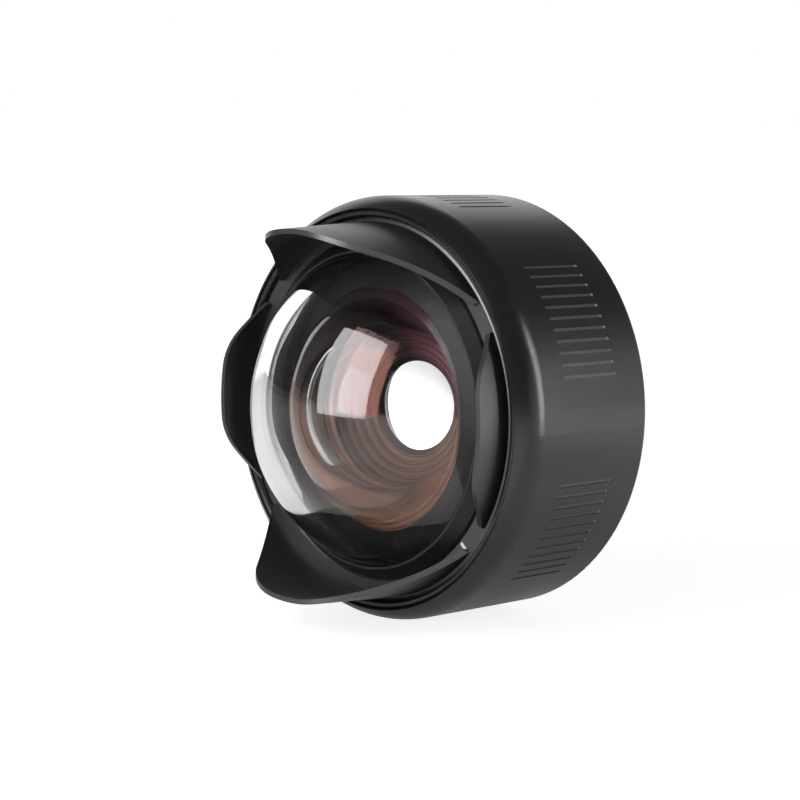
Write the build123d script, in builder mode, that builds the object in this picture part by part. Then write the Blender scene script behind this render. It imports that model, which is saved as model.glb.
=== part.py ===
"""Wide-angle conversion port: a domed negative lens group in a float collar, with a petal hood.

The lens axis is Y. The front of the lens looks along -Y and +Z is up. The origin is the centre of the
rear seat face, where the port meets a camera housing. All sizes are in millimetres.
"""
from math import copysign, cos, radians, sin, sqrt, tan
import os

from build123d import *

os.makedirs("parts", exist_ok=True)

# Float collar: the outer shell that the hand grips
collar_radius = 85.0
collar_wall = 3.0
collar_rim = -1.0
collar_rim_round = 1.7
shoulder_start = -59.9
shoulder_round = 15.4
shoulder_sweep = 47.0
collar_mouth_radius = 79.6
collar_ledge_y = -60.0
collar_ledge_radius = 75.0
collar_ledge_depth = 3.0
rear_ledge_y = -9.0
rear_ledge_radius = 75.0
rear_ledge_depth = 3.5

# Grip slots: groups of short slots along the axis
grip_groups = 6
grip_first_angle = 30.0
grip_slots = 11
grip_pitch = 3.14
grip_length = 30.0
grip_width = 1.3
grip_depth = 0.7
grip_centre_y = -32.6

# Optical surfaces: vertex position and radius; a positive radius has its centre behind the vertex
dome_front = (-112.0, 69.5)
dome_back = (-102.5, 64.0)
second_front = (-96.0, 52.0)
second_back = (-90.5, 35.2)
third_front = (-33.0, -300.0)
third_back = (-25.5, -60.0)
fourth_front = (-24.5, 110.0)
fourth_back = (-9.0, -90.0)
fifth_back = (-5.5, -250.0)
rear_front = (-4.5, 140.0)
rear_back = (4.0, -260.0)
dome_rim_radius = 63.0
second_rim_radius = 48.0
third_rim_radius = 27.5
rear_group_radius = 36.0
dome_flat_y = -65.0
second_flat_y = -59.5
cement_gap = 0.04
lens_clearance = 0.12

# Lens barrel
snout_radius = 67.75
snout_front = -68.5
barrel_flange_radius = 79.45
flange_front = -63.0
guard_inner_radius = 77.0
guard_front = -70.7
barrel_rear_radius = 42.0
barrel_rear_end = 7.0
stop_radius = 20.7
stop_front = -37.5
stop_back = -34.35
tube_bore_radius = 44.5
front_thread_radius = 65.2
front_thread_depth = 2.0
third_thread_radius = 29.3
rear_thread_radius = 38.1

# Petal hood
hood_bore_radius = 67.85
hood_back = -63.3
hood_face = -69.0
hood_base_radius = 76.6
petal_root_radius = 74.9
petal_thickness = 2.0
petal_root_y = -67.8
tall_petal_height = 43.2
tall_petal_tip_radius = 72.5
tall_petal_top = 20.5
tall_petal_base = 58.0
tall_petal_reach = 50.0
tall_petal_round = 30.0
short_petal_height = 15.8
short_petal_tip_radius = 75.6
short_petal_top = 19.1
short_petal_base = 39.6
short_petal_reach = 30.0
short_petal_round = 24.0
glide_ring_thickness = 0.24
snap_wire_radius = 0.75
snap_wire_major = 67.8
snap_wire_y = -66.0
snap_channel_clearance = 0.35
index_angle = 319.3
index_inner_radius = 69.2
index_outer_radius = 72.8
index_width = 1.5
index_depth = 0.25

# Rear closing plate and port mount
plate_radius = 81.9
plate_back = -1.2
plate_recess_y = -5.0
nut_radius = 48.5
nut_notches = 4
mount_base_radius = 72.0
mount_bore_radius = 50.5
neck_radius = 58.8
lug_radius = 63.2
lug_count = 3
lug_angle = 36.0
lug_start = 4.0
lug_end = 7.5
spigot_radius = 59.8
spigot_end = 17.0
seal_groove_start = 8.3
seal_groove_end = 11.7
seal_groove_radius = 57.3
mount_dot_circle = 69.0
mount_dot_radius = 1.2
mount_dot_depth = 0.3

# Fasteners: M3 countersunk screws
screw_radius = 1.5
screw_head_radius = 2.75
screw_head_height = 1.7
thread_hole_radius = 1.5
screw_count = 8
plate_screw_circle = 78.0
plate_screw_length = 9.5
mount_screw_circle = 67.0
mount_screw_length = 7.5
driver_socket = 2.0
driver_depth = 0.9


def sag(radius, height):
    """Axial distance from a lens surface's vertex to its edge at this height from the axis."""
    return radius - copysign(sqrt(radius**2 - height**2), radius)


def surface_arc(surface, height):
    """Three points of a lens surface, from its vertex out to this height."""
    vertex, radius = surface
    return [(step * height, vertex + sag(radius, step * height)) for step in (0, 0.5, 1)]


def flat_height(surface, flat_y):
    """Height from the axis at which a lens surface meets a flat at flat_y."""
    vertex, radius = surface
    return sqrt(radius**2 - (radius - (flat_y - vertex)) ** 2)


def lens_section(front, back, rim, flat_y=None):
    """Half section of a lens; flat_y adds the flat ring around a deep rear hollow."""
    back_height = rim if flat_y is None else flat_height(back, flat_y)
    with BuildSketch(Plane.XY) as section:
        with BuildLine():
            front_arc = ThreePointArc(*surface_arc(front, rim))
            back_arc = ThreePointArc(*surface_arc(back, back_height))
            if flat_y is None:
                Line(front_arc @ 1, back_arc @ 1)
            else:
                Polyline(front_arc @ 1, (rim, flat_y), back_arc @ 1)
            Line(back_arc @ 0, front_arc @ 0)
        make_face()
    return section.sketch


def ring_section(inner, outer, front, back):
    """Half section of a plain ring between two radii and two axial positions."""
    with BuildSketch(Plane.XY) as section:
        with BuildLine():
            Polyline((inner, front), (outer, front), (outer, back), (inner, back), close=True)
        make_face()
    return section.sketch


def turned_section(*points):
    """Half section of a turned part from its corner points, each (radius, y)."""
    with BuildSketch(Plane.XY) as section:
        with BuildLine():
            Polyline(*points, close=True)
        make_face()
    return section.sketch


def wire_section(major, minor, y):
    """Section of a round seal or wire ring."""
    with BuildSketch(Plane.XY) as section:
        with Locations((major, y)):
            Circle(minor)
    return section.sketch


def around_axis(count, circle, y, first=0.0):
    """Planes spaced around the lens axis whose normals point along +Y."""
    angles = [radians(first + 360 * step / count) for step in range(count)]
    return [
        Plane(origin=(circle * cos(a), y, circle * sin(a)), x_dir=(cos(a), 0, sin(a)), z_dir=(0, 1, 0))
        for a in angles
    ]


# Outer shell of the float collar, with its rounded shoulder and grip slots
shoulder_centre = (collar_radius - shoulder_round, shoulder_start)
grip_planes = [
    Plane(
        origin=(collar_radius * cos(radians(angle)), grip_centre_y, collar_radius * sin(radians(angle))),
        x_dir=(0, 1, 0),
        z_dir=(cos(radians(angle)), 0, sin(radians(angle))),
    )
    for group in range(grip_groups)
    for angle in [
        grip_first_angle + group * 360 / grip_groups + (slot - (grip_slots - 1) / 2) * grip_pitch
        for slot in range(grip_slots)
    ]
]
with BuildPart() as collar_shell:
    with BuildSketch(Plane.XY):
        with BuildLine():
            shoulder = CenterArc(shoulder_centre, shoulder_round, 0, -shoulder_sweep)
            mouth_edge = shoulder @ 1
            Polyline(
                shoulder @ 1,
                (collar_mouth_radius, mouth_edge.Y + 0.4),
                (collar_mouth_radius, collar_ledge_y),
                (collar_ledge_radius, collar_ledge_y),
                (collar_ledge_radius, collar_ledge_y + collar_ledge_depth),
                (collar_radius - collar_wall, collar_ledge_y + 2 * collar_ledge_depth),
                (collar_radius - collar_wall, rear_ledge_y - rear_ledge_depth),
                (rear_ledge_radius, rear_ledge_y - rear_ledge_depth),
                (rear_ledge_radius, rear_ledge_y),
                (collar_radius - collar_wall, rear_ledge_y),
                (collar_radius - collar_wall, collar_rim),
                (collar_radius, collar_rim),
                shoulder @ 0,
            )
        make_face()
    revolve(axis=Axis.Y)
    rear_circles = collar_shell.edges().filter_by(GeomType.CIRCLE).group_by(Axis.Y)[-1]
    rim_edge = rear_circles.sort_by(SortBy.RADIUS)[-1]
    fillet(rim_edge, collar_rim_round)
    with BuildSketch(*grip_planes):
        SlotOverall(grip_length, grip_width)
    extrude(amount=-grip_depth, mode=Mode.SUBTRACT)
    with BuildSketch(*around_axis(screw_count, plate_screw_circle, rear_ledge_y)):
        Circle(thread_hole_radius)
    extrude(amount=-rear_ledge_depth, mode=Mode.SUBTRACT)
collar_shell.part.label = "collar_shell"
export_step(collar_shell.part, "parts/collar_shell.step")

# Lens barrel: holds every lens, carries the hood on its snout and closes the collar's front
dome_bore = dome_rim_radius + lens_clearance
second_bore = second_rim_radius + lens_clearance
third_bore = third_rim_radius + lens_clearance
rear_bore = rear_group_radius + lens_clearance
second_pocket_radius = 58.1
second_pocket_y = -61.0
rear_throat_radius = 33.4
fourth_seat_y = fourth_front[0] + sag(fourth_front[1], rear_throat_radius) - 0.02
third_thread_front = -31.8
third_thread_back = -27.5
rear_thread_front = 1.0
snap_half = snap_wire_radius + snap_channel_clearance
snap_groove_radius = snap_wire_major - snap_half
dome_seal_inner = 59.6
dome_seal_outer = 62.4
dome_seal_depth = 1.1
flange_seal_inner = 76.4
flange_seal_outer = 78.2
flange_seal_depth = 1.4
with BuildPart() as lens_barrel:
    revolve(
        turned_section(
            (stop_radius, stop_front),
            (tube_bore_radius, stop_front),
            (tube_bore_radius, second_flat_y + 0.05),
            (second_bore, second_flat_y + 0.05),
            (second_bore, second_pocket_y),
            (second_pocket_radius, second_pocket_y),
            (second_pocket_radius, dome_flat_y),
            (dome_seal_inner, dome_flat_y),
            (dome_seal_inner, dome_flat_y + dome_seal_depth),
            (dome_seal_outer, dome_flat_y + dome_seal_depth),
            (dome_seal_outer, dome_flat_y),
            (dome_bore, dome_flat_y),
            (dome_bore, snout_front + front_thread_depth),
            (front_thread_radius, snout_front + front_thread_depth),
            (front_thread_radius, snout_front),
            (snout_radius, snout_front),
            (snout_radius, snap_wire_y - snap_half),
            (snap_groove_radius, snap_wire_y - snap_half),
            (snap_groove_radius, snap_wire_y + snap_half),
            (snout_radius, snap_wire_y + snap_half),
            (snout_radius, flange_front),
            (guard_inner_radius, flange_front),
            (guard_inner_radius, guard_front + 0.5),
            (guard_inner_radius + 0.5, guard_front),
            (barrel_flange_radius - 0.9, guard_front),
            (barrel_flange_radius, guard_front + 0.9),
            (barrel_flange_radius, collar_ledge_y),
            (flange_seal_outer, collar_ledge_y),
            (flange_seal_outer, collar_ledge_y - flange_seal_depth),
            (flange_seal_inner, collar_ledge_y - flange_seal_depth),
            (flange_seal_inner, collar_ledge_y),
            (collar_ledge_radius - 0.2, collar_ledge_y),
            (collar_ledge_radius - 0.2, collar_ledge_y + 1.5),
            (63.0, collar_ledge_y + 1.5),
            (49.0, stop_front + 2.0),
            (barrel_rear_radius, stop_front + 12.0),
            (barrel_rear_radius, barrel_rear_end),
            (rear_thread_radius, barrel_rear_end),
            (rear_thread_radius, rear_thread_front),
            (rear_bore, rear_thread_front),
            (rear_bore, fourth_seat_y),
            (rear_throat_radius, fourth_seat_y),
            (rear_throat_radius, third_thread_back),
            (third_thread_radius, third_thread_back),
            (third_thread_radius, third_thread_front),
            (third_bore, third_thread_front),
            (third_bore, stop_back),
            (stop_radius + 1.5, stop_back),
        ),
        axis=Axis.Y,
    )
lens_barrel.part.label = "lens_barrel"
export_step(lens_barrel.part, "parts/lens_barrel.step")

# Front dome lens: a deep meniscus with a flat ring behind its rim
with BuildPart() as dome_lens:
    revolve(lens_section(dome_front, dome_back, dome_rim_radius, dome_flat_y), axis=Axis.Y)
dome_lens.part.label = "dome_lens"
export_step(dome_lens.part, "parts/dome_lens.step")

# Seal behind the dome lens
with BuildPart() as dome_seal:
    revolve(
        ring_section(
            dome_seal_inner + 0.1, dome_seal_outer - 0.1, dome_flat_y, dome_flat_y + dome_seal_depth
        ),
        axis=Axis.Y,
    )
dome_seal.part.label = "dome_seal"
export_step(dome_seal.part, "parts/dome_seal.step")

# Front retaining ring: a coned bezel that screws into the snout and holds the dome lens
bezel_outer = snout_radius - 0.35
bezel_lip = dome_rim_radius - 0.5
bezel_lip_y = dome_front[0] + sag(dome_front[1], bezel_lip) - 0.05
bezel_front = bezel_lip_y - 0.9
rim_front_y = dome_front[0] + sag(dome_front[1], dome_rim_radius)
with BuildPart() as front_bezel:
    revolve(
        turned_section(
            (bezel_lip, bezel_lip_y),
            (bezel_lip, bezel_front),
            (bezel_lip + 0.9, bezel_front),
            (bezel_outer, hood_face - 0.6),
            (bezel_outer, snout_front),
            (front_thread_radius - 0.05, snout_front),
            (front_thread_radius - 0.05, snout_front + front_thread_depth - 0.1),
            (dome_rim_radius + 0.3, snout_front + front_thread_depth - 0.1),
            (dome_rim_radius + 0.3, bezel_lip_y),
        ),
        axis=Axis.Y,
    )
front_bezel.part.label = "front_bezel"
export_step(front_bezel.part, "parts/front_bezel.step")

# Second lens: a strong negative meniscus behind the dome
with BuildPart() as second_lens:
    revolve(lens_section(second_front, second_back, second_rim_radius, second_flat_y), axis=Axis.Y)
second_lens.part.label = "second_lens"
export_step(second_lens.part, "parts/second_lens.step")

# Baffle ring: holds the second lens and screens the barrel's wall behind the dome
baffle_lip = second_rim_radius - 1.1
baffle_lip_y = second_front[0] + sag(second_front[1], baffle_lip) - 0.05
with BuildPart() as baffle_ring:
    revolve(
        turned_section(
            (second_bore + 0.03, second_pocket_y),
            (second_pocket_radius - 0.1, second_pocket_y),
            (second_pocket_radius - 0.1, dome_flat_y + 0.5),
            (baffle_lip + 0.6, baffle_lip_y - 0.8),
            (baffle_lip, baffle_lip_y - 0.8),
            (baffle_lip, baffle_lip_y),
            (second_bore + 0.03, baffle_lip_y),
        ),
        axis=Axis.Y,
    )
baffle_ring.part.label = "baffle_ring"
export_step(baffle_ring.part, "parts/baffle_ring.step")

# Light trap between the second and third lenses: a cone of stepped ribs
trap_steps = 7
trap_front = second_flat_y + 0.15
trap_back = stop_front - 0.1
trap_front_radius = 42.5
trap_back_radius = 23.0
trap_rib = 0.9
trap_valley = 1.0
trap_points = [(tube_bore_radius - 0.1, trap_back), (tube_bore_radius - 0.1, trap_front)]
for step in range(trap_steps):
    near = trap_front + (trap_back - trap_front) * step / trap_steps
    far = trap_front + (trap_back - trap_front) * (step + 1) / trap_steps
    crest = trap_front_radius + (trap_back_radius - trap_front_radius) * step / (trap_steps - 1)
    valley = crest + trap_valley
    trap_points += [(crest, near), (crest, near + trap_rib), (valley, near + trap_rib), (valley, far)]
with BuildPart() as light_trap:
    revolve(turned_section(*trap_points), axis=Axis.Y)
light_trap.part.label = "light_trap"
export_step(light_trap.part, "parts/light_trap.step")

# Third lens, and the ring that holds it
with BuildPart() as third_lens:
    revolve(lens_section(third_front, third_back, third_rim_radius), axis=Axis.Y)
third_lens.part.label = "third_lens"
export_step(third_lens.part, "parts/third_lens.step")

third_ring_inner = 25.2
third_ring_front = third_back[0] + sag(third_back[1], third_ring_inner) + 0.05
with BuildPart() as third_ring:
    revolve(
        ring_section(
            third_ring_inner, third_thread_radius - 0.05, third_ring_front, third_thread_back - 0.3
        ),
        axis=Axis.Y,
    )
third_ring.part.label = "third_ring"
export_step(third_ring.part, "parts/third_ring.step")

# Rear group: a cemented pair, a spacer and the rear lens
with BuildPart() as fourth_lens:
    revolve(lens_section(fourth_front, fourth_back, rear_group_radius), axis=Axis.Y)
fourth_lens.part.label = "fourth_lens"
export_step(fourth_lens.part, "parts/fourth_lens.step")

fifth_front = (fourth_back[0] + cement_gap, fourth_back[1])
with BuildPart() as fifth_lens:
    revolve(lens_section(fifth_front, fifth_back, rear_group_radius), axis=Axis.Y)
fifth_lens.part.label = "fifth_lens"
export_step(fifth_lens.part, "parts/fifth_lens.step")

spacer_inner = rear_group_radius - 1.6
spacer_front = fifth_back[0] + sag(fifth_back[1], spacer_inner) + 0.02
spacer_back = rear_front[0] + sag(rear_front[1], spacer_inner) - 0.02
with BuildPart() as rear_spacer:
    revolve(ring_section(spacer_inner, rear_group_radius, spacer_front, spacer_back), axis=Axis.Y)
rear_spacer.part.label = "rear_spacer"
export_step(rear_spacer.part, "parts/rear_spacer.step")

with BuildPart() as rear_lens:
    revolve(lens_section(rear_front, rear_back, rear_group_radius), axis=Axis.Y)
rear_lens.part.label = "rear_lens"
export_step(rear_lens.part, "parts/rear_lens.step")

rear_ring_inner = rear_group_radius - 1.5
rear_ring_front = rear_back[0] + sag(rear_back[1], rear_ring_inner) + 0.05
with BuildPart() as rear_ring:
    revolve(
        turned_section(
            (rear_ring_inner, rear_ring_front),
            (rear_thread_radius - 0.05, rear_ring_front),
            (rear_thread_radius - 0.05, barrel_rear_end - 0.5),
            (rear_ring_inner + 2.0, barrel_rear_end - 0.5),
        ),
        axis=Axis.Y,
    )
    notch_width = 1.6
    with BuildSketch(*around_axis(2, rear_thread_radius - 1.2, barrel_rear_end - 0.5)):
        Rectangle(2.4, notch_width)
    extrude(amount=-1.5, mode=Mode.SUBTRACT)
rear_ring.part.label = "rear_ring"
export_step(rear_ring.part, "parts/rear_ring.step")

# Petal hood: two tall and two short petals on a ring that turns on the barrel's snout
def petal_pair(view, height, tip_radius, top, base, reach, top_round):
    """Two opposite petals: a coned wall inside an outline, with blunt feet at an angle from the middle."""
    tip_y = hood_face - height
    across = collar_radius * tan(radians(reach))
    with BuildPart() as pair:
        revolve(
            turned_section(
                (petal_root_radius - petal_thickness, petal_root_y),
                (petal_root_radius, petal_root_y),
                (petal_root_radius, hood_face),
                (tip_radius, tip_y),
                (tip_radius - petal_thickness, tip_y),
                (petal_root_radius - petal_thickness, hood_face),
            ),
            axis=Axis.Y,
        )
        with BuildSketch(view):
            with BuildLine():
                Polyline(
                    (-base, petal_root_y),
                    (-base, hood_face),
                    (-top, tip_y),
                    (top, tip_y),
                    (base, hood_face),
                    (base, petal_root_y),
                    close=True,
                )
            make_face()
            fillet(vertices().sort_by(Axis.Y)[:2], top_round)
        extrude(amount=collar_radius, both=True, mode=Mode.INTERSECT)
        with BuildSketch(Plane(origin=(0, tip_y, 0), x_dir=view.x_dir, z_dir=(0, 1, 0))):
            with BuildLine():
                Polyline((0, 0), (-across, collar_radius), (across, collar_radius), close=True)
            make_face()
            mirror(about=Plane.XZ)
        extrude(amount=height + petal_root_y - hood_face, mode=Mode.INTERSECT)
    return pair.part


side_view = Plane(origin=(0, 0, 0), x_dir=(0, 0, 1), z_dir=(-1, 0, 0))
tall_petals = petal_pair(
    Plane.XY,
    tall_petal_height,
    tall_petal_tip_radius,
    tall_petal_top,
    tall_petal_base,
    tall_petal_reach,
    tall_petal_round,
)
short_petals = petal_pair(
    side_view,
    short_petal_height,
    short_petal_tip_radius,
    short_petal_top,
    short_petal_base,
    short_petal_reach,
    short_petal_round,
)

with BuildPart() as petal_hood:
    add(tall_petals)
    add(short_petals)
    revolve(
        turned_section(
            (hood_bore_radius, hood_back),
            (hood_bore_radius, snap_wire_y + snap_half),
            (snap_wire_major + snap_half, snap_wire_y + snap_half),
            (snap_wire_major + snap_half, snap_wire_y - snap_half),
            (hood_bore_radius, snap_wire_y - snap_half),
            (hood_bore_radius, hood_face + 0.8),
            (hood_bore_radius + 0.8, hood_face),
            (petal_root_radius + 0.2, hood_face),
            (hood_base_radius, hood_face + 0.8),
            (hood_base_radius, hood_back),
        ),
        axis=Axis.Y,
    )
    index_centre = (index_inner_radius + index_outer_radius) / 2
    with BuildSketch(*around_axis(1, index_centre, hood_face, index_angle)):
        Rectangle(index_outer_radius - index_inner_radius, index_width)
    extrude(amount=index_depth, mode=Mode.SUBTRACT)
petal_hood.part.label = "petal_hood"
export_step(petal_hood.part, "parts/petal_hood.step")

# White filling of the index line on the hood's ring
with BuildPart() as index_mark:
    with BuildSketch(*around_axis(1, index_centre, hood_face, index_angle)):
        Rectangle(index_outer_radius - index_inner_radius - 0.1, index_width - 0.1)
    extrude(amount=index_depth)
index_mark.part.label = "index_mark"
export_step(index_mark.part, "parts/index_mark.step")

# Low-friction washer under the hood, and the wire that keeps the hood on the snout
with BuildPart() as hood_glide_ring:
    revolve(
        ring_section(
            snout_radius + 1.5, hood_base_radius - 0.8, flange_front - glide_ring_thickness, flange_front
        ),
        axis=Axis.Y,
    )
hood_glide_ring.part.label = "hood_glide_ring"
export_step(hood_glide_ring.part, "parts/hood_glide_ring.step")

with BuildPart() as hood_snap_wire:
    revolve(wire_section(snap_wire_major, snap_wire_radius, snap_wire_y), axis=Axis.Y)
hood_snap_wire.part.label = "hood_snap_wire"
export_step(hood_snap_wire.part, "parts/hood_snap_wire.step")

# Seal between the barrel's flange and the collar's front ledge
with BuildPart() as flange_seal:
    flange_seal_radius = (flange_seal_inner + flange_seal_outer) / 2
    revolve(wire_section(flange_seal_radius, 0.65, collar_ledge_y - 0.7), axis=Axis.Y)
flange_seal.part.label = "flange_seal"
export_step(flange_seal.part, "parts/flange_seal.step")

# Rear plate: closes the collar's air space
plate_groove_radius = 80.2
plate_groove_half = 1.1
plate_groove_y = -6.4
bore_groove_radius = 43.8
bore_groove_half = 1.0
bore_groove_y = -7.0
plate_bore = barrel_rear_radius + 0.1
with BuildPart() as rear_plate:
    revolve(
        turned_section(
            (plate_bore, rear_ledge_y),
            (plate_radius, rear_ledge_y),
            (plate_radius, plate_groove_y - plate_groove_half),
            (plate_groove_radius, plate_groove_y - plate_groove_half),
            (plate_groove_radius, plate_groove_y + plate_groove_half),
            (plate_radius, plate_groove_y + plate_groove_half),
            (plate_radius, plate_back - 0.6),
            (plate_radius - 0.6, plate_back),
            (mount_base_radius + 0.15, plate_back),
            (mount_base_radius + 0.15, plate_recess_y),
            (plate_bore, plate_recess_y),
            (plate_bore, bore_groove_y + bore_groove_half),
            (bore_groove_radius, bore_groove_y + bore_groove_half),
            (bore_groove_radius, bore_groove_y - bore_groove_half),
            (plate_bore, bore_groove_y - bore_groove_half),
        ),
        axis=Axis.Y,
    )
    with Locations(*around_axis(screw_count, plate_screw_circle, plate_back)):
        CounterSinkHole(screw_radius, screw_head_radius)
    with BuildSketch(*around_axis(screw_count, mount_screw_circle, plate_recess_y, 180 / screw_count)):
        Circle(thread_hole_radius)
    extrude(amount=rear_ledge_y - plate_recess_y, mode=Mode.SUBTRACT)
rear_plate.part.label = "rear_plate"
export_step(rear_plate.part, "parts/rear_plate.step")

with BuildPart() as plate_seal:
    plate_seal_radius = (plate_groove_radius + collar_radius - collar_wall) / 2
    revolve(wire_section(plate_seal_radius, 0.85, plate_groove_y), axis=Axis.Y)
plate_seal.part.label = "plate_seal"
export_step(plate_seal.part, "parts/plate_seal.step")

with BuildPart() as barrel_seal:
    revolve(wire_section((bore_groove_radius + barrel_rear_radius) / 2, 0.85, bore_groove_y), axis=Axis.Y)
barrel_seal.part.label = "barrel_seal"
export_step(barrel_seal.part, "parts/barrel_seal.step")

# Ring nut that draws the barrel and the rear plate together
with BuildPart() as barrel_nut:
    revolve(ring_section(barrel_rear_radius + 0.05, nut_radius, plate_recess_y, plate_back), axis=Axis.Y)
    with BuildSketch(*around_axis(nut_notches, nut_radius - 1.0, plate_back, 45)):
        Rectangle(3.0, 4.0)
    extrude(amount=-2.0, mode=Mode.SUBTRACT)
barrel_nut.part.label = "barrel_nut"
export_step(barrel_nut.part, "parts/barrel_nut.step")

mount_screw_planes = around_axis(screw_count, mount_screw_circle, 0, 180 / screw_count)

# Port mount: seat flange, bayonet lugs and sealed spigot
with BuildPart() as mount_ring:
    revolve(
        turned_section(
            (mount_bore_radius, plate_recess_y),
            (mount_base_radius, plate_recess_y),
            (mount_base_radius, -0.4),
            (mount_base_radius - 0.4, 0),
            (neck_radius, 0),
            (neck_radius, lug_end),
            (spigot_radius, lug_end + 0.5),
            (spigot_radius, seal_groove_start),
            (seal_groove_radius, seal_groove_start),
            (seal_groove_radius, seal_groove_end),
            (spigot_radius, seal_groove_end),
            (spigot_radius, spigot_end - 0.8),
            (spigot_radius - 0.8, spigot_end),
            (mount_bore_radius + 3.0, spigot_end),
            (mount_bore_radius, spigot_end - 6.0),
        ),
        axis=Axis.Y,
    )
    with BuildSketch(Plane.XZ.offset(-lug_start)):
        for step in range(lug_count):
            first = 90 - lug_angle / 2 + step * 360 / lug_count
            with BuildLine():
                rim = CenterArc((0, 0), lug_radius, first, lug_angle)
                foot = CenterArc((0, 0), neck_radius - 0.5, first, lug_angle)
                Line(rim @ 0, foot @ 0)
                Line(rim @ 1, foot @ 1)
            make_face()
    extrude(amount=-(lug_end - lug_start))
    with Locations(*mount_screw_planes):
        CounterSinkHole(screw_radius, screw_head_radius)
    with BuildSketch(*around_axis(1, mount_dot_circle, 0, 90)):
        Circle(mount_dot_radius)
    extrude(amount=-mount_dot_depth, mode=Mode.SUBTRACT)
mount_ring.part.label = "mount_ring"
export_step(mount_ring.part, "parts/mount_ring.step")

# Seal in the spigot's groove
with BuildPart() as mount_seal:
    mount_seal_radius = seal_groove_radius + 1.5
    revolve(wire_section(mount_seal_radius, 1.49, (seal_groove_start + seal_groove_end) / 2), axis=Axis.Y)
mount_seal.part.label = "mount_seal"
export_step(mount_seal.part, "parts/mount_seal.step")

# White dot that is lined up with the camera housing
with BuildPart() as mount_dot:
    with BuildSketch(*around_axis(1, mount_dot_circle, -mount_dot_depth, 90)):
        Circle(mount_dot_radius - 0.05)
    extrude(amount=mount_dot_depth)
mount_dot.part.label = "mount_dot"
export_step(mount_dot.part, "parts/mount_dot.step")


def screw_set(planes, length):
    """A group of identical countersunk screws with hexagon sockets, heads towards +Y."""
    with BuildPart() as screws:
        with BuildSketch(*planes):
            Circle(screw_radius - 0.05)
        extrude(amount=-length)
        with BuildSketch(*planes):
            Circle(screw_head_radius - 0.06)
        extrude(amount=-(screw_head_radius - screw_radius), taper=45)
        with BuildSketch(*planes):
            RegularPolygon(driver_socket / 2, 6, major_radius=False)
        extrude(amount=-driver_depth, mode=Mode.SUBTRACT)
    return screws.part


# Screws of the rear plate and of the port mount
plate_screws = screw_set(around_axis(screw_count, plate_screw_circle, plate_back), plate_screw_length)
plate_screws.label = "plate_screws"
export_step(plate_screws, "parts/plate_screws.step")

mount_screws = screw_set(mount_screw_planes, mount_screw_length)
mount_screws.label = "mount_screws"
export_step(mount_screws, "parts/mount_screws.step")
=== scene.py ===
"""Looks of the wide-angle conversion port: finishes, polished lenses, studio and camera.

The lens axis is Y, the front looks along -Y and +Z is up. Lengths are in metres unless a name says mm.
"""
from math import asin, copysign, cos, pi, radians, sin, sqrt

import bmesh
import bpy
from mathutils import Matrix, Vector


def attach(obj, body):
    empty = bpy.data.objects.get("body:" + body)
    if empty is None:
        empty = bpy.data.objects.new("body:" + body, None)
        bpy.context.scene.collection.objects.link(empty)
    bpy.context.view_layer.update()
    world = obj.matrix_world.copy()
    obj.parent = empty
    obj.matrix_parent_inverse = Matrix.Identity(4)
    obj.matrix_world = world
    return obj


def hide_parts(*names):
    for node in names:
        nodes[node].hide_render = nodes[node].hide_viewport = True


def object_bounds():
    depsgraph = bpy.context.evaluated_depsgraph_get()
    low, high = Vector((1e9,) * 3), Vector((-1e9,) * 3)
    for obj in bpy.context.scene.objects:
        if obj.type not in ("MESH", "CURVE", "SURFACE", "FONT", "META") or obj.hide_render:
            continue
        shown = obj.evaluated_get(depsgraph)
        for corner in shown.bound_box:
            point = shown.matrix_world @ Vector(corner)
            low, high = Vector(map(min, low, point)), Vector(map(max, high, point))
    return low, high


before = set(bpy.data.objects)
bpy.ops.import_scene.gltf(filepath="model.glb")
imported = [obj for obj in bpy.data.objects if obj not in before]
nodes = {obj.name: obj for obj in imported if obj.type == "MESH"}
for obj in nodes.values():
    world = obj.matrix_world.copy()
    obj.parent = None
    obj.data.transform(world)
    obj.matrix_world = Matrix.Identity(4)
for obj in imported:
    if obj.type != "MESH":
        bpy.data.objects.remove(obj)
cad_low, cad_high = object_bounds()
MM = 0.001

# Optical surfaces in mm: vertex position and radius, as the CAD lenses have them
DOME_FRONT = (-112.0, 69.5)
DOME_BACK = (-102.5, 64.0)
SECOND_FRONT = (-96.0, 52.0)
SECOND_BACK = (-90.5, 35.2)
THIRD_FRONT = (-33.0, -300.0)
THIRD_BACK = (-25.5, -60.0)
FOURTH_FRONT = (-24.5, 110.0)
FOURTH_BACK = (-9.0, -90.0)
FIFTH_BACK = (-5.5, -250.0)
REAR_FRONT = (-4.5, 140.0)
REAR_BACK = (4.0, -260.0)
CEMENT_GAP = 0.04

# Lens rims in mm: edge radius, and where the flat back of a deep lens lies
DOME_RIM = 63.0
SECOND_RIM = 48.0
THIRD_RIM = 27.5
REAR_GROUP_RIM = 36.0
DOME_FLAT_Y = -65.0
SECOND_FLAT_Y = -59.5

# Light trap: spacing of its ribs and the smallest radius in metres, then the parts of a spacing that get a
# painted highlight; the rest gets painted shade
TRAP_PITCH = 0.00325
TRAP_CREST = 0.023
RIB_CREST = (0.09, 0.05)
RIB_SLOPE_RISE = (0.3, 0.4)
RIB_SLOPE_FALL = (1.02, 0.7)
RIB_SLOPE_SHARE = 0.6
# The painted reflection colours change at these X and Z: the colour above the axis is dimmer at -X.
TRAP_SPLIT_X = (-0.01, 0.015)
TRAP_SPLIT_Z = (-0.012, 0.012)

# Grip slots on the collar in metres: radii between wall and floor, and the slots' two ends along Y
SLOT_SUNK = (0.08485, 0.0847)
SLOT_FRONT = -0.0476
SLOT_BACK = -0.0176
SLOT_MARGIN = 0.001
SLOT_SOFT = 0.0005

# Camera: found by fitting the photograph's circles
CAMERA_PLACE = (0.6528, -0.6816, 0.1248)
CAMERA_AZIMUTH = 46.12
CAMERA_ELEVATION = 7.67
CAMERA_ROLL = 2.09
CAMERA_LENS_MM = 102.15
SENSOR_MM = 36.0

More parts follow.
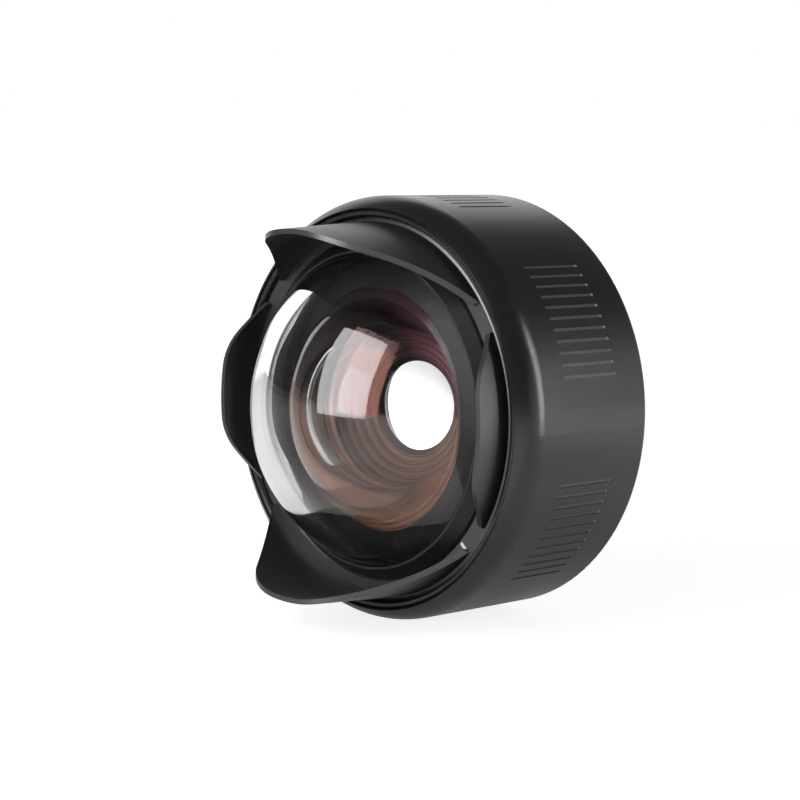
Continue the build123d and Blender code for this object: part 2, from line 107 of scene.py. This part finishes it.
# Floor levels: its glow on the object, how it looks close by, and what shiny faces mirror of it
FLOOR_LIT = 0.2
FLOOR_SHOWN = 0.83
# Under the object, the floor that shiny faces mirror carries a painted shadow.
FLOOR_PAINTED_SHADOW = 0.2
FLOOR_SIDE = 0.58
FLOOR_BACK = 1.15
FLOOR_FRONT = 1.0
FLOOR_FRONT_LEFT = 0.15

# Floor zones in metres: each pair is where one level fades into the next
FLOOR_REACH = 12.0
FLOOR_WHITE_ZONE = (0.3, 1.5)
FLOOR_NEAR_ZONE = (0.09, 0.2)
FLOOR_BACK_ZONE = (0.1, 0.4)
FLOOR_LEFT_ZONE = (-0.15, 0.1)
FLOOR_FRONT_ZONE = (-0.125, -0.105)
FLOOR_FRONT_BEND = 0.05

# World levels: the dim room, the white sweep's right side, and the sweep as seen through glass
ROOM_DIM = 0.1
SWEEP_RIGHT = 0.72
SWEEP_THROUGH_GLASS = 1.3
SWEEP_THROUGH_PORT = 2.0

# World zones by direction, from -1 to 1 along each axis
SWEEP_FRONT_ZONE = (-0.08, -0.03)
SWEEP_FRONT_LEAN = -0.35
SWEEP_TOP_ZONE = (0.38, 0.56)
SWEEP_TOP_LEAN = 0.2
SWEEP_TOP_ZONE_THROUGH = (0.75, 0.95)
SWEEP_STRAIGHT_ZONE = (0.5, 0.65)
SWEEP_RIGHT_ZONE = (0.3, 0.6)

# Softboxes: place and size in metres, tilt and yaw in degrees, radiance of the face.
# The front one's place and size come from its reflection in the dome lens.
FRONT_PLACE = (-0.137, -1.25, 0.457)
FRONT_TILT = 18.6
FRONT_YAW = -6.6
FRONT_SIZE = (0.856, 1.279)
FRONT_RADIANCE = 4.5
FRONT_MIRRORED_RADIANCE = 8.6
SIDE_PLACE = (1.15, 0.69, 0.35)
SIDE_TILT = 8.0
SIDE_YAW = 121.0
SIDE_SIZE = (0.16, 1.2)
SIDE_RADIANCE = 12.5


class Nodes:
    """A short way to write a material's or a world's node tree."""

    def __init__(self, tree):
        self.tree = tree

    def add(self, kind, **inputs):
        node = self.tree.nodes.new(kind)
        self.set(node, inputs)
        return node

    def set(self, node, inputs):
        for name, value in inputs.items():
            socket = node.inputs[int(name[1:])] if name[0] == "i" and name[1:].isdigit() else None
            socket = socket or node.inputs[name.replace("_", " ")]
            if hasattr(value, "is_output"):
                self.tree.links.new(value, socket)
            else:
                socket.default_value = value

    def math(self, operation, *values):
        node = self.tree.nodes.new("ShaderNodeMath")
        node.operation = operation
        for index, value in enumerate(values):
            self.set(node, {f"i{index}": value})
        return node.outputs[0]

    def step(self, value, low, high):
        """Smooth rise from 0 to 1 while value goes from low to high."""
        node = self.tree.nodes.new("ShaderNodeMapRange")
        node.interpolation_type = "SMOOTHSTEP"
        self.set(node, {"Value": value, "From Min": low, "From Max": high})
        return node.outputs[0]

    def mix(self, factor, first, second):
        node = self.tree.nodes.new("ShaderNodeMix")
        node.data_type = "RGBA"
        self.set(node, {"i0": factor, "i6": first, "i7": second})
        return node.outputs[2]

    def blend(self, factor, first, second):
        """A number that goes from first to second with the factor."""
        node = self.tree.nodes.new("ShaderNodeMix")
        self.set(node, {"i0": factor, "i2": first, "i3": second})
        return node.outputs[0]

    def noise(self, vector, scale, detail=2.0):
        node = self.add("ShaderNodeTexNoise", Vector=vector, Scale=scale, Detail=detail)
        return node.outputs["Fac"]

    def position(self):
        return self.tree.nodes.new("ShaderNodeTexCoord").outputs["Object"]

    def parts(self, vector):
        """The X, Y and Z of a vector."""
        return self.add("ShaderNodeSeparateXYZ", Vector=vector).outputs

    def from_axis(self, x, z):
        """Distance from the lens axis."""
        return self.math("SQRT", self.math("ADD", self.math("MULTIPLY", x, x), self.math("MULTIPLY", z, z)))


def material(name, **settings):
    """A material with one Principled shader; settings are its own sockets."""
    made = bpy.data.materials.new(name)
    made.use_nodes = True
    tools = Nodes(made.node_tree)
    shader = made.node_tree.nodes["Principled BSDF"]
    tools.set(shader, settings)
    return made, tools, shader


def grey(level):
    return (level, level, level, 1.0)


def darker(colour, share):
    return tuple(share * part for part in colour[:3]) + (1.0,)


def slot_masks(tools, place):
    """Where the grip slots' floors lie on the collar, and where their rear ends lie, which get a painted
    highlight.
    """
    x, y, z = tools.parts(place)
    sunk = tools.step(tools.from_axis(x, z), *SLOT_SUNK)
    behind_front = tools.step(y, SLOT_FRONT - SLOT_MARGIN, SLOT_FRONT - SLOT_SOFT)
    before_back = tools.step(y, SLOT_BACK + SLOT_MARGIN, SLOT_BACK + SLOT_SOFT)
    inside = tools.math("MULTIPLY", sunk, tools.math("MULTIPLY", behind_front, before_back))
    return inside, tools.step(y, SLOT_BACK - SLOT_MARGIN, SLOT_BACK - SLOT_SOFT)


def anodised(name, dark, light, roughness, ior=1.55, slots=None):
    """Satin anodised aluminium: blasted grain, faint cloudiness and a slightly uneven gloss.

    Slots are the colour of the grip slots' floors and of the painted highlight on their rear ends.
    """
    spread = 0.06
    made, tools, shader = material(name, IOR=ior)
    place = tools.position()
    cloud = tools.noise(place, 38.0, 3.0)
    fine = tools.noise(place, 2600.0, 2.0)
    colour = tools.mix(tools.step(cloud, 0.3, 0.7), dark, light)
    uneven = tools.math("MULTIPLY_ADD", tools.noise(place, 90.0, 4.0), spread, roughness - spread / 2)
    bump = tools.add("ShaderNodeBump", Height=fine, Strength=0.25, Distance=0.00006)
    if slots:
        inside, painted_end_glint = slot_masks(tools, place)
        # In a slot the floor takes the first colour, and the rear end takes the second as a painted
        # highlight.
        colour = tools.mix(inside, colour, tools.mix(painted_end_glint, *slots))
    tools.set(shader, {"Base Color": colour, "Roughness": uneven, "Normal": bump.outputs[0]})
    return made


def turned_metal(name, dark, light, roughness, pitch, ior=1.5):
    """Machined and blackened metal: fine turning marks around the lens axis."""
    made, tools, shader = material(name, IOR=ior)
    place = tools.position()
    x, y, z = tools.parts(place)
    along = tools.math("ADD", tools.from_axis(x, z), y)
    marks = tools.math("SINE", tools.math("MULTIPLY", along, 2 * pi / pitch))
    cloud = tools.noise(place, 60.0, 3.0)
    bump = tools.add("ShaderNodeBump", Height=marks, Strength=0.12, Distance=0.00004)
    tools.set(shader, {
        "Base Color": tools.mix(cloud, dark, light),
        "Roughness": tools.math("MULTIPLY_ADD", cloud, 0.1, roughness - 0.05),
        "Normal": bump.outputs[0],
    })
    return made


def trap_metal(name, above, below, roughness):
    """Ribbed light trap: painted highlight on the rib crests and slopes and painted shade between them, over
    painted reflection colours: one above the axis, dimmer at -X, and another below it.
    """
    made, tools, shader = material(name, IOR=1.45)
    x, _, z = tools.parts(tools.position())
    radius = tools.from_axis(x, z)
    rib = tools.math("FRACT", tools.math("MULTIPLY_ADD", radius, 1 / TRAP_PITCH, -TRAP_CREST / TRAP_PITCH))
    slope = tools.math("MULTIPLY", tools.step(rib, *RIB_SLOPE_RISE), tools.step(rib, *RIB_SLOPE_FALL))
    painted_rib_highlight = tools.math("MAXIMUM", tools.step(rib, *RIB_CREST), tools.math("MULTIPLY", slope, RIB_SLOPE_SHARE))
    above = tools.mix(tools.step(x, *TRAP_SPLIT_X), darker(above, 0.2), above)
    colour = tools.mix(tools.step(z, *TRAP_SPLIT_Z), below, above)
    # Away from the painted rib highlight, the colour drops to a fifth as painted shade.
    tools.set(shader, {
        "Base Color": tools.mix(painted_rib_highlight, tools.mix(0.8, colour, grey(0.0)), colour),
        "Roughness": roughness,
    })
    return made


def polished_glass(name, ior, coating):
    """Clear glass; the coating's colour weakens and tints the straight-on reflection."""
    made, tools, shader = material(name, IOR=ior)
    haze = tools.noise(tools.position(), 55.0, 2.0)
    tools.set(shader, {
        "Base Color": grey(1.0),
        "Transmission Weight": 1.0,
        "Specular Tint": coating,
        "Roughness": tools.math("MULTIPLY", tools.step(haze, 0.75, 0.95), 0.004),
    })
    return made


def plain(name, colour, roughness, metallic=0.0):
    """Rubber, plastic, paint or steel with a fine grain and a faint change of tone."""
    made, tools, shader = material(name, Metallic=metallic)
    place = tools.position()
    bump = tools.add("ShaderNodeBump", Height=tools.noise(place, 1400.0), Strength=0.2, Distance=0.00005)
    tools.set(shader, {
        "Base Color": tools.mix(tools.noise(place, 130.0), darker(colour, 0.8), colour),
        "Roughness": tools.math("MULTIPLY_ADD", tools.noise(place, 300.0), 0.1, roughness - 0.05),
        "Normal": bump.outputs[0],
    })
    return made


FINISHES = {
    # The light grey of the slots' rear ends is a painted highlight.
    "collar_anodised": anodised("collar_anodised", grey(0.0105), grey(0.0135), 0.25,
                                slots=(grey(0.11), grey(0.6))),
    "hood_anodised": anodised("hood_anodised", grey(0.011), grey(0.014), 0.36, 1.77),
    "barrel_anodised": anodised("barrel_anodised", grey(0.012), grey(0.015), 0.28),
    "mount_anodised": turned_metal("mount_anodised", grey(0.012), grey(0.02), 0.3, 0.00022),
    "ring_black": turned_metal("ring_black", grey(0.006), grey(0.009), 0.5, 0.0003, 1.42),
    # The trap's and the second lens edge's colours are painted reflection, magenta above the axis and
    # brown-orange below it, with painted rib highlights.
    "trap_black": trap_metal("trap_black", (0.36, 0.07, 0.12, 1.0), (0.4, 0.17, 0.1, 1.0), 0.4),
    "ribbed_edge_painted_light": trap_metal("ribbed_edge_painted_light", (0.16, 0.03, 0.05, 1.0), (0.8, 0.35, 0.19, 1.0), 0.4),
    "throat_black": plain("throat_black", (0.1, 0.025, 0.045, 1.0), 0.3),
    "edge_lacquer": plain("edge_lacquer", grey(0.006), 0.5),
    "seal_rubber": plain("seal_rubber", grey(0.012), 0.45),
    "glide_plastic": plain("glide_plastic", grey(0.06), 0.45),
    "fastener_steel": plain("fastener_steel", grey(0.45), 0.3, metallic=1.0),
    "mark_white": plain("mark_white", (0.85, 0.85, 0.83, 1.0), 0.5),
    "dome_front": polished_glass("dome_front", 1.52, (1.0, 1.0, 1.0, 1.0)),
    "dome_back": polished_glass("dome_back", 1.52, (0.33, 0.17, 0.17, 1.0)),
    "second_front": polished_glass("second_front", 1.55, (0.34, 0.12, 0.06, 1.0)),
    "second_back": polished_glass("second_back", 1.55, (0.2, 0.25, 0.3, 1.0)),
    "inner_glass": polished_glass("inner_glass", 1.62, (0.06, 0.03, 0.06, 1.0)),
    "flint_glass": polished_glass("flint_glass", 1.75, (0.05, 0.05, 0.03, 1.0)),
}

NODE_FINISHES = {
    "collar_shell": "collar_anodised",
    "lens_barrel": "barrel_anodised",
    "petal_hood": "hood_anodised",
    "index_mark": "mark_white",
    "hood_glide_ring": "glide_plastic",
    "hood_snap_wire": "fastener_steel",
    "front_bezel": "ring_black",
    "dome_seal": "seal_rubber",
    "baffle_ring": "ring_black",
    "light_trap": "trap_black",
    "third_ring": "throat_black",
    "rear_spacer": "ring_black",
    "rear_ring": "ring_black",
    "flange_seal": "seal_rubber",
    "rear_plate": "barrel_anodised",
    "plate_seal": "seal_rubber",
    "barrel_seal": "seal_rubber",
    "barrel_nut": "mount_anodised",
    "mount_ring": "mount_anodised",
    "mount_seal": "seal_rubber",
    "mount_dot": "mark_white",
    "plate_screws": "fastener_steel",
    "mount_screws": "fastener_steel",
}


def dress_nodes():
    """Gives every carried-over CAD node its finish."""
    for name, finish in NODE_FINISHES.items():
        node = nodes[name]
        node.data.materials.clear()
        node.data.materials.append(FINISHES[finish])


def sag(radius, height):
    """Axial distance from a surface's vertex to its edge at this height."""
    return radius - copysign(sqrt(radius**2 - height**2), radius)


def surface_points(surface, height, count):
    """Points (radius, y) in mm along a spherical surface, from the axis outwards."""
    vertex, radius = surface
    reach = asin(height / abs(radius))
    heights = [abs(radius) * sin(reach * step / count) for step in range(count + 1)]
    return [(h, vertex + sag(radius, h)) for h in heights]


def turned_mesh(name, stretches, steps):
    """A mesh turned about Y. Each stretch is (points in mm, material slot); they share end points."""
    mesh = bmesh.new()
    angles = [2 * pi * step / steps for step in range(steps)]
    rings = []
    slots = []
    for points, slot in stretches:
        for point in points if not rings else points[1:]:
            radius, y = point[0] * MM, point[1] * MM
            if radius < 1e-9:
                rings.append([mesh.verts.new((0, y, 0))])
            else:
                rings.append([mesh.verts.new((radius * cos(a), y, radius * sin(a))) for a in angles])
            if len(rings) > 1:
                slots.append(slot)
    for near, far, slot in zip(rings, rings[1:], slots):
        for step in range(steps):
            corners = [ring[step % len(ring)] for ring in (near, far)]
            corners += [ring[(step + 1) % len(ring)] for ring in (far, near)]
            face = mesh.faces.new(list(dict.fromkeys(corners)))
            face.material_index = slot
            face.smooth = True
    bmesh.ops.recalc_face_normals(mesh, faces=mesh.faces)
    data = bpy.data.meshes.new(name)
    mesh.to_mesh(data)
    mesh.free()
    data.set_sharp_from_angle(angle=radians(30))
    made = bpy.data.objects.new(name, data)
    bpy.context.scene.collection.objects.link(made)
    return made


def polished_lens(name, node, coatings, front, back, rim, flat_y=None, count=48, edging="edge_lacquer"):
    """A lens with coated faces and a blackened edge, in the place of a CAD lens."""
    steps = 4 * count
    front_points = surface_points(front, rim, count)
    if flat_y is None:
        back_points = surface_points(back, rim, count)
        edge = [front_points[-1], back_points[-1]]
    else:
        vertex, radius = back
        back_points = surface_points(back, sqrt(radius**2 - (radius - (flat_y - vertex)) ** 2), count)
        edge = [front_points[-1], (rim, flat_y), back_points[-1]]
    made = turned_mesh(name, [(front_points, 0), (edge, 1), (back_points[::-1], 2)], steps)
    for finish in (coatings[0], edging, coatings[1]):
        made.data.materials.append(FINISHES[finish])
    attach(made, "port")
    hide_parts(node)
    return made


def make_lenses():
    fifth_front = (FOURTH_BACK[0] + CEMENT_GAP, FOURTH_BACK[1])
    dome, second = ("dome_front", "dome_back"), ("second_front", "second_back")
    inner, flint = ("inner_glass", "inner_glass"), ("flint_glass", "flint_glass")
    polished_lens("dome_glass", "dome_lens", dome, DOME_FRONT, DOME_BACK, DOME_RIM, DOME_FLAT_Y, 96)
    polished_lens("second_glass", "second_lens", second, SECOND_FRONT, SECOND_BACK, SECOND_RIM,
                  SECOND_FLAT_Y, 72, "ribbed_edge_painted_light")
    polished_lens("third_glass", "third_lens", inner, THIRD_FRONT, THIRD_BACK, THIRD_RIM)
    polished_lens("fourth_glass", "fourth_lens", inner, FOURTH_FRONT, FOURTH_BACK, REAR_GROUP_RIM)
    polished_lens("fifth_glass", "fifth_lens", flint, fifth_front, FIFTH_BACK, REAR_GROUP_RIM)
    polished_lens("rear_glass", "rear_lens", inner, REAR_FRONT, REAR_BACK, REAR_GROUP_RIM)


def make_floor():
    """A pale floor that looks white and keeps the object's soft shadow."""
    mesh = bpy.data.meshes.new("floor")
    reach, level = FLOOR_REACH, cad_low.z
    corners = [(-reach, -reach, level), (reach, -reach, level), (reach, reach, level), (-reach, reach, level)]
    mesh.from_pydata(corners, [], [(0, 1, 2, 3)])
    floor = bpy.data.objects.new("floor", mesh)
    bpy.context.scene.collection.objects.link(floor)
    made, tools, shader = material("floor_white", Roughness=0.9)
    path = made.node_tree.nodes.new("ShaderNodeLightPath")
    shown = tools.math("MAXIMUM", path.outputs["Is Camera Ray"], path.outputs["Is Glossy Ray"])
    shown = tools.math("MAXIMUM", shown, path.outputs["Is Transmission Ray"])
    place = tools.position()
    length = tools.add("ShaderNodeVectorMath", i0=place)
    length.operation = "LENGTH"
    distance = length.outputs["Value"]
    x, y, _ = tools.parts(place)
    edge = tools.math("MULTIPLY_ADD", tools.math("ABSOLUTE", x), FLOOR_FRONT_BEND, y)
    # Near the object the mirrored floor is dimmed as a painted shadow.
    sides = tools.blend(tools.step(distance, *FLOOR_NEAR_ZONE), FLOOR_PAINTED_SHADOW, FLOOR_SIDE)
    sides = tools.blend(tools.step(y, *FLOOR_BACK_ZONE), sides, FLOOR_BACK)
    front = tools.blend(tools.step(x, *FLOOR_LEFT_ZONE), FLOOR_FRONT_LEFT, FLOOR_FRONT)
    mirrored = tools.blend(tools.step(edge, *FLOOR_FRONT_ZONE), front, sides)
    direct = tools.blend(tools.step(distance, *FLOOR_WHITE_ZONE), FLOOR_SHOWN, 1.0)
    strength = tools.blend(shown, FLOOR_LIT, tools.blend(path.outputs["Is Camera Ray"], mirrored, direct))
    tools.set(shader, {
        "Base Color": grey(0.5),
        "Specular IOR Level": 0.0,
        "Emission Color": grey(1.0),
        "Emission Strength": strength,
    })
    mesh.materials.append(made)


def make_world():
    """A white sweep behind the object and beside it in a dim room; the camera itself sees white."""
    world = bpy.data.worlds.new("studio")
    bpy.context.scene.world = world
    world.use_nodes = True
    tree = world.node_tree
    tree.nodes.clear()
    tools = Nodes(tree)
    direction = tree.nodes.new("ShaderNodeTexCoord").outputs["Generated"]
    x, y, z = tools.parts(direction)
    behind = tools.step(tools.math("MULTIPLY_ADD", z, SWEEP_FRONT_LEAN, y), *SWEEP_FRONT_ZONE)
    path = tree.nodes.new("ShaderNodeLightPath")
    through = path.outputs["Is Transmission Ray"]
    top = tools.step(tools.math("MULTIPLY_ADD", x, SWEEP_TOP_LEAN, z), *SWEEP_TOP_ZONE)
    high = tools.blend(through, top, tools.step(z, *SWEEP_TOP_ZONE_THROUGH))
    straight = tools.step(y, *SWEEP_STRAIGHT_ZONE)
    straight = tools.mix(straight, grey(SWEEP_THROUGH_GLASS), grey(SWEEP_THROUGH_PORT))
    sweep = tools.mix(through, grey(1.0), straight)
    right = tools.math("SUBTRACT", 1.0, through)
    right = tools.math("MULTIPLY", tools.step(x, *SWEEP_RIGHT_ZONE), right)
    sweep = tools.mix(right, sweep, grey(SWEEP_RIGHT))
    level = tools.mix(high, tools.mix(behind, grey(ROOM_DIM), sweep), grey(ROOM_DIM))
    colour = tools.mix(path.outputs["Is Camera Ray"], level, grey(1.0))
    background = tools.add("ShaderNodeBackground", Color=colour, Strength=1.0)
    output = tree.nodes.new("ShaderNodeOutputWorld")
    tree.links.new(background.outputs[0], output.inputs["Surface"])


def facing(centre, tilt, yaw):
    """Where a softbox stands; tilt leans its top towards the object."""
    upright = Matrix.Rotation(radians(90 - tilt), 4, "X")
    return Matrix.Translation(centre) @ Matrix.Rotation(radians(yaw), 4, "Z") @ upright


def softbox(name, place, size, radiance):
    """A rectangular lamp; radiance is how bright its face looks."""
    width, height = size
    lamp = bpy.data.lights.new(name, "AREA")
    lamp.shape = "RECTANGLE"
    lamp.size = width
    lamp.size_y = height
    lamp.energy = radiance * pi * width * height
    made = bpy.data.objects.new(name, lamp)
    made.matrix_world = place
    bpy.context.scene.collection.objects.link(made)
    return made


def mirrored_card(name, place, size, radiance):
    """The softbox's face as polished and glossy surfaces mirror it; nothing else sees it."""
    mesh = bpy.data.meshes.new(name)
    wide, tall = size[0] / 2, size[1] / 2
    corners = [(-wide, -tall, 0), (wide, -tall, 0), (wide, tall, 0), (-wide, tall, 0)]
    mesh.from_pydata(corners, [], [(0, 1, 2, 3)])
    card = bpy.data.objects.new(name, mesh)
    card.matrix_world = place
    bpy.context.scene.collection.objects.link(card)
    made = bpy.data.materials.new(name)
    made.use_nodes = True
    made.cycles.emission_sampling = "NONE"
    tools = Nodes(made.node_tree)
    made.node_tree.nodes.clear()
    path = tools.add("ShaderNodeLightPath")
    clear = tools.add("ShaderNodeBsdfTransparent")
    glow = tools.add("ShaderNodeEmission", Color=grey(1.0), Strength=radiance)
    mirrored = path.outputs["Is Glossy Ray"]
    switch = tools.add("ShaderNodeMixShader", i0=mirrored, i1=clear.outputs[0], i2=glow.outputs[0])
    output = tools.add("ShaderNodeOutputMaterial")
    made.node_tree.links.new(switch.outputs[0], output.inputs["Surface"])
    mesh.materials.append(made)


def make_lamps():
    """The front softbox lights the object; a card in its place is what the glass and the metal mirror."""
    front = facing(FRONT_PLACE, FRONT_TILT, FRONT_YAW)
    lamp = softbox("front_softbox", front, FRONT_SIZE, FRONT_RADIANCE)
    lamp.visible_glossy = False
    lamp.visible_transmission = False
    mirrored_card("front_card", front, FRONT_SIZE, FRONT_MIRRORED_RADIANCE)
    softbox("side_softbox", facing(SIDE_PLACE, SIDE_TILT, SIDE_YAW), SIDE_SIZE, SIDE_RADIANCE)


def make_camera():
    """The photograph's camera: azimuth 0 looks along +Y from the front."""
    azimuth, elevation = radians(CAMERA_AZIMUTH), radians(CAMERA_ELEVATION)
    back = Vector((sin(azimuth) * cos(elevation), -cos(azimuth) * cos(elevation), sin(elevation)))
    right = Vector((cos(azimuth), sin(azimuth), 0))
    up = back.cross(right)
    turn = Matrix.Rotation(radians(CAMERA_ROLL), 3, back)
    lens = bpy.data.cameras.new("camera")
    lens.lens = CAMERA_LENS_MM
    lens.sensor_width = SENSOR_MM
    camera = bpy.data.objects.new("camera", lens)
    axes = Matrix((turn @ right, turn @ up, back)).transposed().to_4x4()
    camera.matrix_world = Matrix.Translation(CAMERA_PLACE) @ axes
    bpy.context.scene.collection.objects.link(camera)
    bpy.context.scene.camera = camera


def set_view():
    scene = bpy.context.scene
    scene.view_settings.view_transform = "Standard"
    scene.cycles.max_bounces = 32
    scene.cycles.transmission_bounces = 32
    scene.cycles.glossy_bounces = 8
    scene.cycles.diffuse_bounces = 4


make_camera()
dress_nodes()
make_lenses()
make_floor()
make_world()
make_lamps()
set_view()
